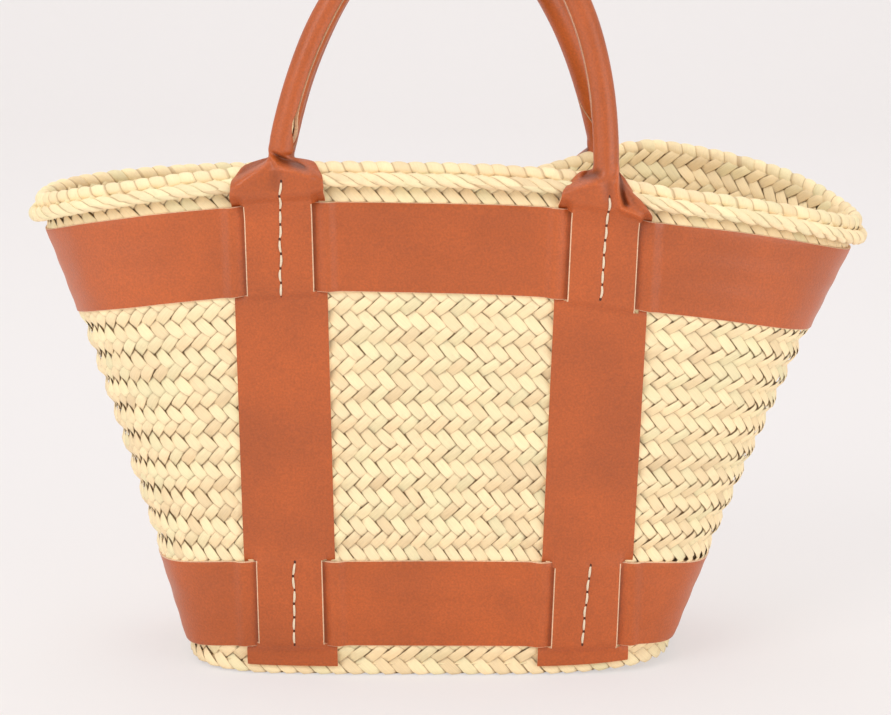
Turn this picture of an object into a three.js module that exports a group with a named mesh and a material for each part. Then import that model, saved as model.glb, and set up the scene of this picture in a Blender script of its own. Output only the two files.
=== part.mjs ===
// A straw tote: a soft woven palm-leaf basket with a saddle-shaped rim, two leather belts laced through
// four slotted leather straps, and two handles rolled from the same leather.
// Millimetres. X runs along the bag, -Y is the front, +Z is up, and the bag stands on Z = 0.

import * as THREE from "three";
import { mergeVertices } from "three/addons/utils/BufferGeometryUtils.js";

// Driving dimensions.
const RIM_LENGTH = 533; // outside of the woven wall at the rim, end to end
const BASE_LENGTH = 317;
const RIM_FLARE = 5; // the ends turn out this much more in their last few courses
const RIM_DEPTH = 188; // front to back
const BASE_DEPTH = 158;
const RIM_HEIGHT = 333.5; // middle of the front rim above the ground
const RIM_LEFT_SHIFT = 10.5; // the base stands this far left of the middle
const RIM_DRIFT = 13; // the rim has drifted this far right over the base
const FRONT_DIP = 4; // the front rim dips left of the left strap
const FRONT_CREST = 6; // and crests between the straps, nearer the right one
const BACK_DROP = 23.5; // the slack left part of the back rim hangs lower than the front
const BACK_RISE = 5; // its right part stands higher
const BACK_PINCH = 0.3; // and is drawn in by this share of its depth

const STRAW = 7; // thickness of the woven wall
const LEATHER = 2.4;
const GAP = 0.3; // between neighbouring pieces

const EDGE_HEIGHT = 10; // wrapped edge on top of the wall
const EDGE_WIDTH = 9;
const ROPE_RADIUS = 4.2; // twisted rope sewn under the edge, outside the wall
const ROPE_DEPTH = 10; // its middle below the top of the rim

const BELT_WIDTH = 58;
const UPPER_BELT_MIDDLE = 0.8425; // share of the wall's height
const LOWER_BELT_MIDDLE = 0.147;
const LOWER_BELT_DIP = 6.5; // how much lower it hangs at both ends

const STRAP_WIDTH = 58.5;
const TONGUE_WIDTH = 42; // middle of the strap, between its two slits
const SLIT_WIDTH = 3;
const SLIT_RUN = 4; // how far a slit runs past the belt
const FRONT = -1;
const BACK = 1;
const STRAPS = {
  left: { foot: -99, head: -104.7, roots: { [FRONT]: -101.7, [BACK]: -108.5 } },
  right: { foot: 88.5, head: 100.5, roots: { [FRONT]: 100, [BACK]: 103.5 } },
};

const HANDLE_RADIUS = 8;
const HANDLE_RISE = 150; // top of the arch above its roots
const HANDLE_LEAN = 9; // degrees towards the other handle
const HANDLE_INSETS = { [FRONT]: [38, 2], [BACK]: [44, 45] }; // pull of each leg towards the other
const ROOT_RISE = 12; // the roots end this far above the rim
const SEAM_GAP = 1;
const ROLL_CORNERS = 12;
const SEAM_TWIST = 2; // radians from the back of the handle towards the inside of the arch
const HINGE_WEDGE = 40; // degrees of room left beside a handle's root for leaning in

const AROUND = 64; // corners of the wall in plan
const CORD_CORNERS = 8;

const straw = { color: 0xdccb98, roughness: 0.75, metalness: 0 };
const strawEdge = { color: 0xe3d2a0, roughness: 0.72, metalness: 0 };
const leather = { color: 0xb0623a, roughness: 0.48, metalness: 0 };
const beltLeather = { color: 0xb4653c, roughness: 0.5, metalness: 0 };
const cord = { color: 0xc9b48a, roughness: 0.9, metalness: 0 };

function ease(from, to, value) {
  return THREE.MathUtils.smoothstep(value, from, to);
}

function mix(a, b, share) {
  return a + (b - a) * share;
}

// Height of the rim's top. A saddle: it droops to both ends, further on the right, and the back hangs
// lower except at its right part.
function rimHeight(angle) {
  const c = Math.cos(angle);
  const saddle = RIM_HEIGHT - 17.2 * c - 9.7 * c ** 2 + 10 * c ** 3 - 27 * c ** 4;
  const s = Math.sin(angle);
  if (s < 0) {
    const dip = ease(-1, -0.75, c) * (1 - ease(-0.7, -0.25, c));
    const crest = ease(-0.6, 0.25, c) * (1 - ease(0.22, 0.58, c));
    return saddle - FRONT_DIP * dip + FRONT_CREST * crest;
  }
  const right = ease(0.1, 0.55, c);
  return saddle - BACK_DROP * ease(0.1, 1.05, s) * (1 - right) + BACK_RISE * ease(0, 0.6, s) * right;
}

// Height of the lower edge of the wall, a little off the ground at both ends.
function footHeight(angle) {
  const c = Math.cos(angle);
  return c > 0 ? 6 * ease(0.3, 1, c) : 3 * ease(0.5, 1, -c);
}

// Half length, middle and squareness of the oval at a height from 0, the base, to 1, the rim.
function oval(height) {
  return {
    half: mix(BASE_LENGTH, RIM_LENGTH, height) / 2 + RIM_FLARE * height ** 12,
    middle: -RIM_LEFT_SHIFT + RIM_DRIFT * height,
    depth: mix(BASE_DEPTH, RIM_DEPTH, height) / 2,
    square: 0.095 * (1 - height),
  };
}

// A point on the outside of the woven wall.
function skin(angle, height) {
  const { half, middle, depth, square } = oval(height);
  const c = Math.cos(angle);
  const s = Math.sin(angle);
  const along = (c - square * Math.cos(3 * angle)) / (1 - square);
  const across = (s + 0.1 * Math.sin(3 * angle)) / 0.9;
  const pinch = height * ease(0, 0.8, s) * (BACK_PINCH - (BACK_PINCH + 0.06) * ease(0, 0.6, c));
  const foot = footHeight(angle);
  return new THREE.Vector3(
    middle + half * along,
    depth * across * (1 - pinch),
    foot + height * (rimHeight(angle) - foot),
  );
}

// A point at a distance outside that skin.
function wallPoint(angle, height, offset) {
  const step = 1e-4;
  const turn = skin(angle + step, height).sub(skin(angle - step, height));
  const rise = skin(angle, height + step).sub(skin(angle, height - step));
  const normal = turn.cross(rise).normalize();
  return skin(angle, height).addScaledVector(normal, offset);
}

// The angle at which the front or back of the wall has a given X.
function angleAt(x, height, side) {
  const { half, middle, square } = oval(height);
  const target = ((x - middle) / half) * (1 - square);
  let c = target;
  for (let i = 0; i < 8; i++) {
    const value = (1 + 3 * square) * c - 4 * square * c ** 3 - target;
    c -= value / (1 + 3 * square - 12 * square * c ** 2);
  }
  return side * Math.acos(THREE.MathUtils.clamp(c, -1, 1));
}

// The share of the wall's height that lies this many millimetres below the rim.
function below(angle, distance) {
  return 1 - distance / (rimHeight(angle) - footHeight(angle));
}

// How far a belt's middle strays from its share of the wall's height, in millimetres along the skin.
function beltDrift(angle, middle) {
  return middle === LOWER_BELT_MIDDLE ? -LOWER_BELT_DIP * ease(0.5, 1, Math.abs(Math.cos(angle))) : 0;
}

// The share of the wall's height at a distance, measured on the skin, from a belt's middle.
function fromBelt(angle, middle, distance) {
  const slope = skin(angle, middle + 0.01).distanceTo(skin(angle, middle - 0.01)) / 0.02;
  return middle + (distance + beltDrift(angle, middle)) / slope;
}

function geometryFrom(points, triangles) {
  const geometry = new THREE.BufferGeometry();
  geometry.setAttribute(
    "position",
    new THREE.Float32BufferAttribute(points.flatMap((p) => p.toArray()), 3),
  );
  geometry.setIndex(triangles);
  return geometry;
}

// A solid ring: the closed section at each angle, joined all the way round. Each four-sided face is
// split along its shorter diagonal, so that pieces lying on each other bend at the same lines.
function ringSolid(angles, sectionAt) {
  const sections = angles.map(sectionAt);
  const points = sections.flat();
  const size = sections[0].length;
  const triangles = [];
  for (let i = 0; i < sections.length; i++) {
    const next = (i + 1) % sections.length;
    for (let j = 0; j < size; j++) {
      const beside = (j + 1) % size;
      const [a, b] = [i * size + j, next * size + j];
      const [c, d] = [next * size + beside, i * size + beside];
      const crossing = points[a].distanceTo(points[c]) < points[b].distanceTo(points[d]);
      if (crossing) triangles.push(a, b, c, a, c, d);
      else triangles.push(a, b, d, b, c, d);
    }
  }
  return geometryFrom(points, triangles);
}

// A solid sheet: two grids of points, outer and inner, closed along every free edge. Cells for which
// isCut is true are left out, which makes the slits.
function sheetSolid(rows, columns, pointAt, isCut) {
  const points = [];
  for (let side = 0; side < 2; side++) {
    for (let r = 0; r < rows; r++) {
      for (let c = 0; c < columns; c++) points.push(pointAt(r, c, side));
    }
  }
  const at = (r, c, side) => side * rows * columns + r * columns + c;
  const solid = (r, c) => r >= 0 && c >= 0 && r < rows - 1 && c < columns - 1 && !isCut(r, c);
  const triangles = [];
  const quad = (a, b, c, d) => triangles.push(a, b, c, a, c, d);
  for (let r = 0; r < rows - 1; r++) {
    for (let c = 0; c < columns - 1; c++) {
      if (!solid(r, c)) continue;
      quad(at(r, c, 0), at(r, c + 1, 0), at(r + 1, c + 1, 0), at(r + 1, c, 0));
      quad(at(r, c, 1), at(r + 1, c, 1), at(r + 1, c + 1, 1), at(r, c + 1, 1));
      if (!solid(r - 1, c)) quad(at(r, c, 1), at(r, c + 1, 1), at(r, c + 1, 0), at(r, c, 0));
      if (!solid(r + 1, c)) {
        quad(at(r + 1, c, 0), at(r + 1, c + 1, 0), at(r + 1, c + 1, 1), at(r + 1, c, 1));
      }
      if (!solid(r, c - 1)) quad(at(r, c, 1), at(r, c, 0), at(r + 1, c, 0), at(r + 1, c, 1));
      if (!solid(r, c + 1)) {
        quad(at(r, c + 1, 0), at(r, c + 1, 1), at(r + 1, c + 1, 1), at(r + 1, c + 1, 0));
      }
    }
  }
  return mergeVertices(geometryFrom(points, triangles));
}

function wallAngles() {
  return Array.from({ length: AROUND }, (_, i) => (i / AROUND) * 2 * Math.PI);
}

// Straw pieces.

// The wall runs up the outside, over the top and down the inside, with a rounded foot.
function wallGeometry() {
  return ringSolid(wallAngles(), (angle) => {
    const beltRows = (middle) => [-0.5, 0, 0.5].map((share) => fromBelt(angle, middle, share * BELT_WIDTH));
    const heights = [...beltRows(LOWER_BELT_MIDDLE), 0.36, 0.5, 0.62, ...beltRows(UPPER_BELT_MIDDLE)];
    const top = below(angle, EDGE_HEIGHT + GAP);
    const outside = [...heights, top].map((height) => wallPoint(angle, height, 0));
    const inside = [top, ...heights.toReversed()].map((height) => wallPoint(angle, height, -STRAW));
    const foot = [
      wallPoint(angle, 0.01, -STRAW),
      wallPoint(angle, 0, -0.75 * STRAW),
      wallPoint(angle, 0.006, -0.25 * STRAW),
      wallPoint(angle, 0.022, 0),
    ].map((point) => point.setZ(Math.max(point.z, 0)));
    return [...outside, ...inside, ...foot];
  });
}

// The base lies inside the foot of the wall, flat in the middle and lifted with the wall at both ends.
function baseGeometry() {
  const shares = [1, 0.8, 0.55];
  const angles = wallAngles();
  const points = [];
  for (const side of [0, 1]) {
    for (const share of shares) {
      for (const angle of angles) {
        const rim = wallPoint(angle, 0.011, -STRAW - GAP - 0.6);
        const lift = footHeight(angle) * ((share - 0.55) / 0.45) ** 2;
        points.push(
          new THREE.Vector3(
            mix(-RIM_LEFT_SHIFT, rim.x, share),
            rim.y * share,
            lift + (side ? STRAW : 0),
          ),
        );
      }
    }
    points.push(new THREE.Vector3(-RIM_LEFT_SHIFT, 0, side ? STRAW : 0));
  }
  const layer = shares.length * AROUND + 1;
  const triangles = [];
  for (let i = 0; i < AROUND; i++) {
    const n = (i + 1) % AROUND;
    for (let k = 0; k < shares.length - 1; k++) {
      const [a, b] = [k * AROUND + i, k * AROUND + n];
      const [c, d] = [a + AROUND, b + AROUND];
      triangles.push(a, c, b, b, c, d);
      triangles.push(a + layer, b + layer, c + layer, b + layer, d + layer, c + layer);
    }
    const last = (shares.length - 1) * AROUND;
    triangles.push(last + i, layer - 1, last + n);
    triangles.push(last + i + layer, last + n + layer, 2 * layer - 1);
    triangles.push(i, n, n + layer, i, n + layer, i + layer);
  }
  return geometryFrom(points, triangles);
}

// A round cord around the wall, its middle at a depth below the rim and an offset from the skin.
function cordRing(depth, offset, halfHeight, halfWidth) {
  return ringSolid(wallAngles(), (angle) =>
    Array.from({ length: CORD_CORNERS }, (_, i) => {
      const turn = ((i + 0.5) / CORD_CORNERS) * 2 * Math.PI;
      const height = below(angle, depth - halfHeight * Math.sin(turn));
      return wallPoint(angle, height, offset + halfWidth * Math.cos(turn));
    }),
  );
}

// Leather belts.

function strapMiddle(strap, height) {
  return mix(strap.foot, strap.head, height);
}

// The belt lies on the wall, climbs over each strap's outer margins and dives under its tongue.
const MARGIN_IN = TONGUE_WIDTH / 2 + SLIT_WIDTH;
const LEVEL = LEATHER + GAP;
const BELT_STEPS = [
  [STRAP_WIDTH / 2 + 0.4, 1],
  [MARGIN_IN - 0.2, 1],
  [TONGUE_WIDTH / 2 + 0.2, 0],
];

// How far the belt is lifted at a distance from the middle of a strap: 0 on the wall, 1 over a margin.
function beltLevel(distance) {
  const [[edge], [slit], [tongue]] = BELT_STEPS;
  if (distance > edge) return 0;
  return THREE.MathUtils.clamp((distance - tongue) / (slit - tongue), 0, 1);
}

function beltGeometry(middle) {
  const straps = Object.values(STRAPS);
  const plain = [];
  for (const angle of wallAngles()) {
    const nearest = [-1, 0, 1].map((share) => {
      const height = fromBelt(angle, middle, (share * BELT_WIDTH) / 2);
      const x = skin(angle, height).x;
      return Math.min(...straps.map((strap) => Math.abs(x - strapMiddle(strap, height))));
    });
    const [least, most] = [Math.min(...nearest) - 0.5, Math.max(...nearest) + 0.5];
    const crowded = BELT_STEPS.some(([distance]) => distance > least && distance < most);
    if (!crowded) plain.push({ angle, level: beltLevel(nearest[1]) });
  }
  for (const strap of straps) {
    for (const side of [FRONT, BACK]) {
      for (const [distance, level] of BELT_STEPS) {
        for (const sign of [-1, 1]) plain.push({ strap, side, across: sign * distance, level });
      }
    }
  }
  const angleOf = (station, height) =>
    station.strap
      ? angleAt(strapMiddle(station.strap, height) + station.across, height, station.side)
      : station.angle;
  const order = (station) => {
    const angle = angleOf(station, middle);
    return angle < 0 ? angle + 2 * Math.PI : angle;
  };
  plain.sort((a, b) => order(a) - order(b));
  return ringSolid(plain, (station) => {
    const angle = angleOf(station, middle);
    const offset = GAP + station.level * LEVEL;
    const at = (share, out) => {
      const height = fromBelt(angle, middle, (share * BELT_WIDTH) / 2);
      return wallPoint(angleOf(station, height), height, out);
    };
    return [
      at(-1, offset + LEATHER),
      at(0, offset + LEATHER),
      at(1, offset + LEATHER),
      at(1, offset),
      at(0, offset),
      at(-1, offset),
    ];
  });
}

// Leather straps.

// The flat rows of a strap, each at a distance from a belt's middle or at a share of the wall's height.
// raised: the tongue lies over the belt; slit: the row starts a cell that the slits leave out.
const HALF_BELT = BELT_WIDTH / 2 + 0.4;
const UNDER_ROPE = ROPE_DEPTH + ROPE_RADIUS + 2 * GAP;
const OVER_ROPE = 2 * ROPE_RADIUS + GAP + 1.6;
const FLAT_ROWS = [
  { height: 0.022 },
  { middle: LOWER_BELT_MIDDLE, distance: -HALF_BELT - SLIT_RUN + 1, slit: true },
  { middle: LOWER_BELT_MIDDLE, distance: -HALF_BELT, raised: true, slit: true },
  { middle: LOWER_BELT_MIDDLE, distance: 0, raised: true, slit: true },
  { middle: LOWER_BELT_MIDDLE, distance: HALF_BELT, raised: true, slit: true },
  { middle: LOWER_BELT_MIDDLE, distance: HALF_BELT + SLIT_RUN },
  { height: 0.36 },
  { height: 0.5 },
  { height: 0.62 },
  { middle: UPPER_BELT_MIDDLE, distance: -HALF_BELT - SLIT_RUN, slit: true },
  { middle: UPPER_BELT_MIDDLE, distance: -HALF_BELT, raised: true, slit: true },
  { middle: UPPER_BELT_MIDDLE, distance: 0, raised: true, slit: true },
  { middle: UPPER_BELT_MIDDLE, distance: HALF_BELT, raised: true },
  { below: UNDER_ROPE, offset: OVER_ROPE - 4.8 },
  { below: UNDER_ROPE - 1.6, offset: OVER_ROPE - 1.2 },
  { below: UNDER_ROPE - 2.6, offset: OVER_ROPE },
];

// A point of a strap's flat part, at a distance across it and out from the face that lies on the wall.
function flatPoint(strap, side, row, across, out) {
  const level = row.height ?? row.middle ?? 1;
  const start = angleAt(strapMiddle(strap, level) + across, level, side);
  let height = level;
  if (row.middle) height = fromBelt(start, row.middle, row.distance);
  if (row.below) height = below(start, row.below);
  const raised = row.raised && Math.abs(across) <= TONGUE_WIDTH / 2 ? LEVEL : 0;
  const angle = angleAt(strapMiddle(strap, height) + across, height, side);
  return wallPoint(angle, height, (row.offset ?? GAP) + raised + out);
}

// The shoulder, which narrows the strap like half a disc and rolls it into a cup round the handle's root.
// below: millimetres under the rim; back: offset of the sheet from the skin; roll: angle that the sheet
// wraps, in radians; wide: share of the strap's width left there; follow: how much of the rim's rise and
// bend along the strap's width it takes up; tilt: share of the room left for the handle to lean in.
const ROOT_MIDDLE = HANDLE_RADIUS - LEATHER / 2;
const ROOT_TOP = ROOT_RISE + HANDLE_RADIUS * Math.sin(THREE.MathUtils.degToRad(HANDLE_LEAN)) - 2 * GAP;
const ROLLED_ROWS = [
  { below: 0.95 * ROPE_DEPTH, back: OVER_ROPE, roll: 0.08, wide: 0.99, follow: 1, tilt: 0 },
  { below: 0.6 * ROPE_DEPTH, back: OVER_ROPE + 0.3, roll: 0.3, wide: 0.94, follow: 1, tilt: 0 },
  { below: 0.25 * ROPE_DEPTH, back: OVER_ROPE - 0.2, roll: 1.1, wide: 0.83, follow: 1, tilt: 0 },
  { below: -0.12 * ROOT_RISE, back: OVER_ROPE - 0.9, roll: 1.9, wide: 0.7, follow: 0.9, tilt: 0.1 },
  { below: -0.5 * ROOT_RISE, back: OVER_ROPE - 1.6, roll: 2.6, wide: 0.547, follow: 0.5, tilt: 0.5 },
  {
    below: -ROOT_TOP,
    back: HANDLE_RADIUS - LEATHER,
    roll: Math.PI,
    wide: (Math.PI * ROOT_MIDDLE) / STRAP_WIDTH,
    follow: 0,
    tilt: 1,
  },
];

// The place where a strap reaches the rim: a point on the skin, outward and sideways.
function headFrame(strap, side) {
  const angle = angleAt(strap.roots[side], 1, side);
  const origin = skin(angle, 1);
  const out = wallPoint(angle, 1, 1).sub(origin).setZ(0).normalize();
  const along = new THREE.Vector3(0, 0, 1).cross(out).multiplyScalar(-side);
  return { origin, out, along };
}

// Middle of a handle's root, where the shoulder ends and the handle begins.
function rootPoint(strap, side) {
  const { origin } = headFrame(strap, side);
  return origin.clone().add(new THREE.Vector3(0, 0, ROOT_RISE));
}

// How far a leg of the handle leans along +X for each millimetre up.
function legLean(strap, side) {
  const [left, right] = HANDLE_INSETS[side];
  return (strap === STRAPS.left ? left : -right) / (HANDLE_RISE / 0.75);
}

// A point of the shoulder. Each row is a part circle whose two ends curl back over the rim.
function rolledPoint(strap, side, row, share, out) {
  const { origin, out: outward, along } = headFrame(strap, side);
  const radius = (row.wide * STRAP_WIDTH) / row.roll;
  const turn = (share * row.roll) / 2;
  const x = (radius + out) * Math.sin(turn);
  const y = (radius + out) * Math.cos(turn) - radius;
  const beside = skin(angleAt(strap.roots[side] + x, 1, side), 1).sub(origin).multiplyScalar(row.follow);
  const point = origin
    .clone()
    .addScaledVector(along, x)
    .addScaledVector(outward, row.back + LEATHER / 2 + y + beside.dot(outward));
  const lowered = (LEATHER / 2 - y) * Math.tan(THREE.MathUtils.degToRad(HINGE_WEDGE * row.tilt));
  point.z += beside.z - row.below - lowered - x * legLean(strap, side) * row.tilt;
  return point;
}

function strapGeometry(strap, side) {
  const half = STRAP_WIDTH / 2;
  const tongue = TONGUE_WIDTH / 2;
  const columns = [-half, -MARGIN_IN, -tongue, -14, -7, 0, 7, 14, tongue, MARGIN_IN, half];
  const pointAt = (r, c, face) => {
    const across = side === FRONT ? columns[c] : -columns[c];
    if (r < FLAT_ROWS.length) return flatPoint(strap, side, FLAT_ROWS[r], across, face ? 0 : LEATHER);
    const row = ROLLED_ROWS[r - FLAT_ROWS.length];
    return rolledPoint(strap, side, row, across / half, (face ? -1 : 1) * (LEATHER / 2));
  };
  const isCut = (r, c) => (c === 1 || c === columns.length - 3) && Boolean(FLAT_ROWS[r]?.slit);
  return sheetSolid(FLAT_ROWS.length + ROLLED_ROWS.length, columns.length, pointAt, isCut);
}

// Rolled handles.

// The arch from root to root, leaning towards the other handle.
function handleCurve(side) {
  const start = rootPoint(STRAPS.left, side);
  const end = rootPoint(STRAPS.right, side);
  const lean = THREE.MathUtils.degToRad(HANDLE_LEAN);
  const upward = new THREE.Vector3(0, -side * Math.sin(lean), Math.cos(lean));
  const rise = upward.multiplyScalar(HANDLE_RISE / 0.75);
  const across = end.clone().sub(start).normalize();
  const [left, right] = HANDLE_INSETS[side].map((inset) => across.clone().multiplyScalar(inset));
  return new THREE.CubicBezierCurve3(
    start,
    start.clone().add(rise).add(left),
    end.clone().add(rise).sub(right),
    end,
  );
}

// The sheet of leather rolled into a tube, with its two edges meeting at the seam.
function rolledSection(seamAngle) {
  const corners = ROLL_CORNERS;
  const open = SEAM_GAP / HANDLE_RADIUS / 2;
  const turnAt = (i) => seamAngle + open + ((2 * Math.PI - 2 * open) * i) / corners;
  const arc = (radius) =>
    Array.from({ length: corners + 1 }, (_, i) =>
      new THREE.Vector2(Math.cos(turnAt(i)), Math.sin(turnAt(i))).multiplyScalar(radius),
    );
  return new THREE.Shape([...arc(HANDLE_RADIUS), ...arc(HANDLE_RADIUS - LEATHER).reverse()]);
}

function handleGeometry(side) {
  const curve = handleCurve(side);
  const steps = 26;
  const frames = curve.computeFrenetFrames(steps, false);
  const seam = new THREE.Vector3(Math.sin(SEAM_TWIST), -Math.cos(SEAM_TWIST) * side, 0);
  const angle = Math.atan2(seam.dot(frames.binormals[0]), seam.dot(frames.normals[0]));
  return new THREE.ExtrudeGeometry(rolledSection(angle), { steps, bevelEnabled: false, extrudePath: curve });
}

function coreGeometry(side) {
  const radius = (HANDLE_RADIUS - LEATHER) * Math.cos(Math.PI / ROLL_CORNERS) - 2 * GAP;
  const outline = new THREE.Shape();
  outline.absarc(0, 0, radius, 0, 2 * Math.PI, false);
  return new THREE.ExtrudeGeometry(outline, {
    steps: 24,
    curveSegments: 8,
    bevelEnabled: false,
    extrudePath: handleCurve(side),
  });
}

const group = new THREE.Group();

function add(name, geometry, look) {
  const mesh = new THREE.Mesh(geometry, new THREE.MeshStandardMaterial(look));
  mesh.name = name;
  group.add(mesh);
}

add("basket_wall", wallGeometry(), straw);
add("basket_base", baseGeometry(), straw);
add("rim_edge", cordRing(EDGE_HEIGHT / 2, -STRAW / 2, EDGE_HEIGHT / 2, EDGE_WIDTH / 2), strawEdge);
add("rim_rope", cordRing(ROPE_DEPTH, ROPE_RADIUS + GAP, ROPE_RADIUS, ROPE_RADIUS), strawEdge);
add("belt_upper", beltGeometry(UPPER_BELT_MIDDLE), beltLeather);
add("belt_lower", beltGeometry(LOWER_BELT_MIDDLE), beltLeather);
for (const [sideName, side] of [["front", FRONT], ["back", BACK]]) {
  for (const strapName of Object.keys(STRAPS)) {
    add(`strap_${sideName}_${strapName}`, strapGeometry(STRAPS[strapName], side), leather);
  }
  add(`handle_${sideName}`, handleGeometry(side), leather);
  add(`handle_${sideName}_core`, coreGeometry(side), cord);
}

export default group;
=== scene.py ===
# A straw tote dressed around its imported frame: woven floats, wrapped rim, twisted rope, two leather belts
# laced through slotted straps, rolled handles and hand stitches.

import math

import bpy
import numpy as np
from bpy.props import FloatProperty, FloatVectorProperty, IntProperty, PointerProperty
from bpy.types import Operator, Panel, PropertyGroup
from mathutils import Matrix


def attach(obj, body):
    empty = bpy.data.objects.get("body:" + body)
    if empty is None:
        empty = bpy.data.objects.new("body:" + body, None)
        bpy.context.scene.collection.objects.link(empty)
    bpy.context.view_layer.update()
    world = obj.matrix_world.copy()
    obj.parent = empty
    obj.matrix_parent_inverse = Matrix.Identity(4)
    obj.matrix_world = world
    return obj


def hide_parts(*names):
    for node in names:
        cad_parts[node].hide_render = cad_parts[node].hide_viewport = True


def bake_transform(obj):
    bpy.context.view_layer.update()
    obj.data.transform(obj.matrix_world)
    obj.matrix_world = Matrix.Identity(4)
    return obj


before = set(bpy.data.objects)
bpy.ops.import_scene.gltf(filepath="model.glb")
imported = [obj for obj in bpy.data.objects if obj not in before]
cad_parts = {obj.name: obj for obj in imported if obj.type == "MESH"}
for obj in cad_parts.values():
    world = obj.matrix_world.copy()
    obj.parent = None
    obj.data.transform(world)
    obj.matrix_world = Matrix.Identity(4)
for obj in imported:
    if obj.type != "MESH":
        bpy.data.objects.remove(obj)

bl_info = {
    "name": "Straw tote",
    "version": (1, 0, 0),
    "blender": (4, 5, 0),
    "location": "3D View > Sidebar > Straw tote",
    "description": "Dresses the tote's frame in woven straw and leather",
    "category": "Object",
}

# The frame's own sizes, in millimetres. They follow the solids and are not user settings.
RIM_LENGTH = 533.0
BASE_LENGTH = 317.0
RIM_FLARE = 5.0
RIM_DEPTH = 188.0
BASE_DEPTH = 158.0
RIM_HEIGHT = 333.5
RIM_LEFT_SHIFT = 10.5
RIM_DRIFT = 13.0
FRONT_DIP = 4.0
FRONT_CREST = 6.0
BACK_DROP = 23.5
BACK_RISE = 5.0
BACK_PINCH = 0.3
STRAW = 7.0
LEATHER = 2.4
GAP = 0.3
CORE_DEPTH = 3.2  # how deep the core, painted dark as shade in the gaps, lies under both faces of the wall
WALL_TOP = 0.985  # share of the height up to which floats are laid
EDGE_HEIGHT = 10.0
EDGE_WIDTH = 9.0
ROPE_RADIUS = 4.2
ROPE_DEPTH = 10.0
OVER_ROPE = 2 * ROPE_RADIUS + 1.9
BELT_WIDTH = 58.0
UPPER_BELT = 0.8425
LOWER_BELT = 0.147
LOWER_DIP = 6.5
STRAP_WIDTH = 58.5
TONGUE_WIDTH = 42.0
SLIT_WIDTH = 3.0
LEVEL = LEATHER + GAP
TONGUE_MORE = 0.1  # how far a tongue reaches over its nominal width
RAW_LINE = 0.6  # width of the raw line along a tongue's cut edges
MARGIN_SINK = 0.6  # share of a level by which a belt presses the strap's margins into the straw
FULLY_RAISED = 0.94  # share of its full rise from which a tongue counts as over the belt
HANDLE_RADIUS = 8.0
HANDLE_RISE = 150.0
HANDLE_LEAN = math.radians(9)
HANDLE_RUN = 500.0  # about a handle's length
ROOT_RISE = 12.0
SEAM_HALF = 0.08  # radians from the middle of the open seam to a cut edge
STITCH_LENGTH = 9.6
FRONT, BACK = -1, 1
SIDES = {"front": FRONT, "back": BACK}
HANDLE_INSETS = {FRONT: (38.0, 2.0), BACK: (44.0, 45.0)}
# A strap's middle has X foot at the ground and head at the rim; roots are where the handle leaves it. Its two
# seams run between these shares of the wall's height, and stitches gives how far they stray from its middle
# at their lower and upper ends, lower seam first. A shoulder begins its roll early by some millimetres, and
# its left and right half are wider by these shares, down to reach millimetres under the rim.
STRAPS = {
    "left": {
        "foot": -99.0, "head": -104.7, "roots": {FRONT: -101.7, BACK: -108.5},
        "stitches": ((1.3, 3.2), (-0.2, 1.8)), "seams": ((0.066, 0.232), (0.752, 0.974)),
        "mirrored": False, "early": 0.0, "wider": (0.2, 0.0), "reach": 14,
    },
    "right": {
        "foot": 88.5, "head": 100.5, "roots": {FRONT: 100.0, BACK: 103.5},
        "stitches": ((-1.4, 1.6), (-0.8, 1.1)), "seams": ((0.066, 0.232), (0.768, 0.968)),
        "mirrored": True, "early": 2.3, "wider": (-0.03, -0.28), "reach": 26,
    },
}
BACK_SHOULDER = {"early": 4.0, "wider": (-0.2, -0.2), "reach": 14}


# User settings.

def tone(name, description, default):
    """A colour setting."""
    return FloatVectorProperty(name=name, description=description, subtype="COLOR", size=3, default=default)


def distance(name, description, default):
    """A setting in metres."""
    length = {"unit": "LENGTH", "subtype": "DISTANCE"}
    return FloatProperty(name=name, description=description, default=default, **length)


class WeaveSettings(PropertyGroup):
    rows: IntProperty(name="Rows", description="Rows of floats from the ground to the rim", default=35, min=8)
    around: IntProperty(
        name="Floats around", description="Floats in one row at mid height", default=108, min=20,
    )
    relief: distance("Relief", "How far the middle of a float stands over its ends", 0.0014)
    ripple: distance("Ripple", "Rise of the sewn strips between their seams", 0.0015)
    straw: tone("Straw", "Cream straw", (1.0, 0.80, 0.485))
    tan: tone("Tan straw", "Darker floats", (0.80, 0.60, 0.35))
    green: tone("Green straw", "Greener floats", (0.83, 0.78, 0.47))
    # Gaps is painted shade: floats darken towards it at their edges, and so do the core under them and the
    # grooves of the rim cords.
    shadow: tone("Gaps", "Straw in the gaps", (0.38, 0.21, 0.09))


class LeatherSettings(PropertyGroup):
    belt: tone("Belts", "Belt leather", (0.460, 0.090, 0.011))
    strap: tone("Straps", "Strap and handle leather", (0.450, 0.088, 0.011))
    edge: tone("Cut edge", "Raw cut edge", (0.74, 0.48, 0.30))
    thread: tone("Thread", "Stitching thread", (0.80, 0.66, 0.47))
    grain: distance("Grain", "Width of the leather's pores", 0.0013)


class StageSettings(PropertyGroup):
    backdrop: tone("Backdrop", "Floor and wall", (0.90, 0.86, 0.85))
    sky: FloatProperty(
        name="Surround", description="Strength of the even surrounding light", default=0.62, min=0,
    )
    key: FloatProperty(
        name="Key light", description="Power of the main lamp", default=24.0, min=0, unit="POWER",
    )


# The basket's shape.

def ease(low, high, value):
    """Smooth step from 0 at low to 1 at high."""
    t = np.clip((value - low) / (high - low), 0, 1)
    return t * t * (3 - 2 * t)


def mix(a, b, share):
    return a + (b - a) * share


def unit(vectors):
    """The same directions with length 1."""
    return vectors / np.linalg.norm(vectors, axis=-1, keepdims=True)


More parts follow.
